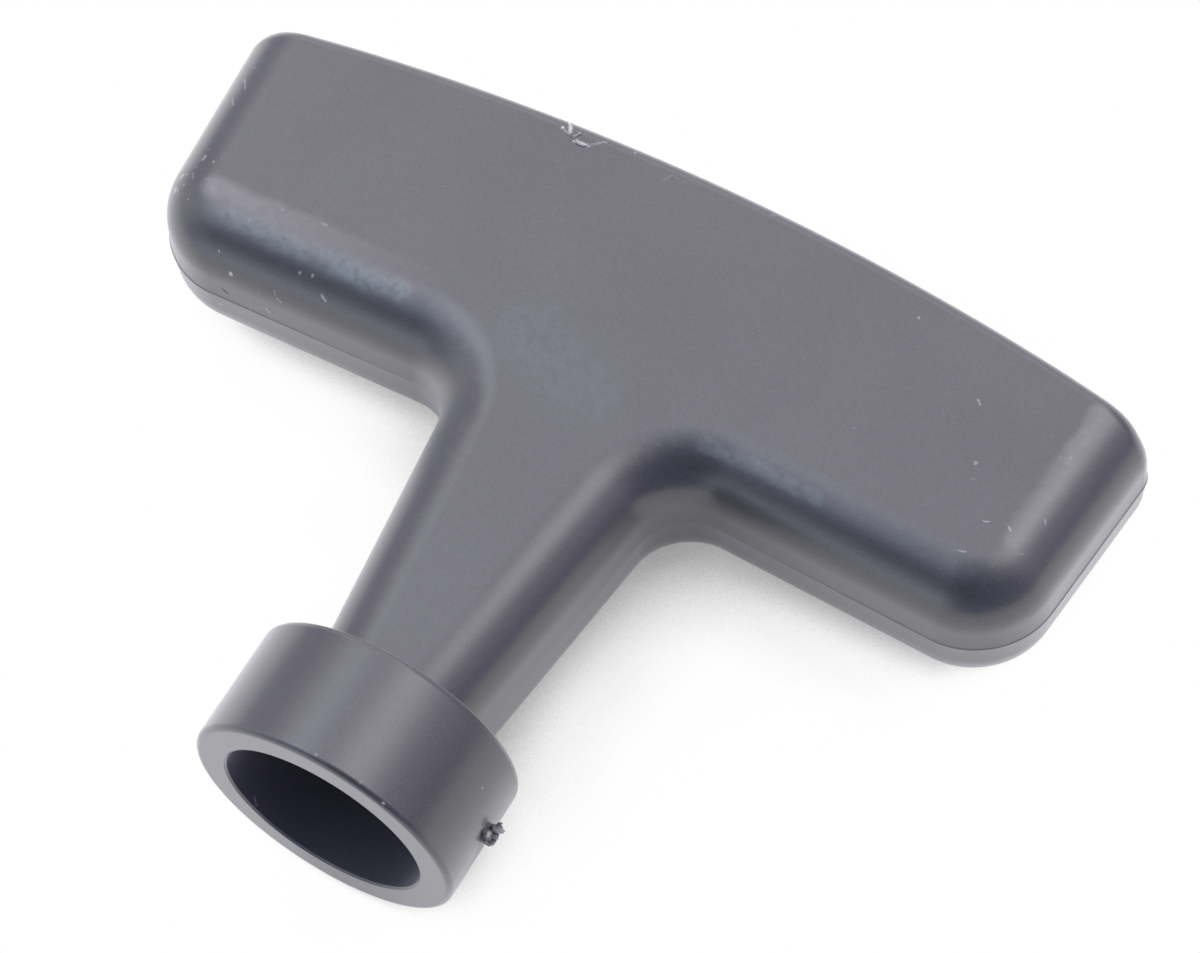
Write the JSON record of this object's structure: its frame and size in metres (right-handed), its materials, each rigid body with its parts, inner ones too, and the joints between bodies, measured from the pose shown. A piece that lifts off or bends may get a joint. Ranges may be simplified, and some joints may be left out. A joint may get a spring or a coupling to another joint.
{
  "type": "starter handle",
  "caption": "T-shaped moulded pull handle with a flat rounded grip, a tapering stem and a round collar whose open cup and bore take a starter rope.",
  "frame": {"origin": "centre of the collar's mouth, on the rope's axis", "axes": "+X along the grip, +Y up the rope from the mouth to the palm side, +Z out of the broad face; the handle lies on its back"},
  "size_m": [0.0976, 0.0719, 0.0268],
  "materials": {
    "moulded_plastic": "satin black moulded plastic"
  },
  "bodies": {
    "root": {"handle": "moulded_plastic"}
  },
  "joints": []
}
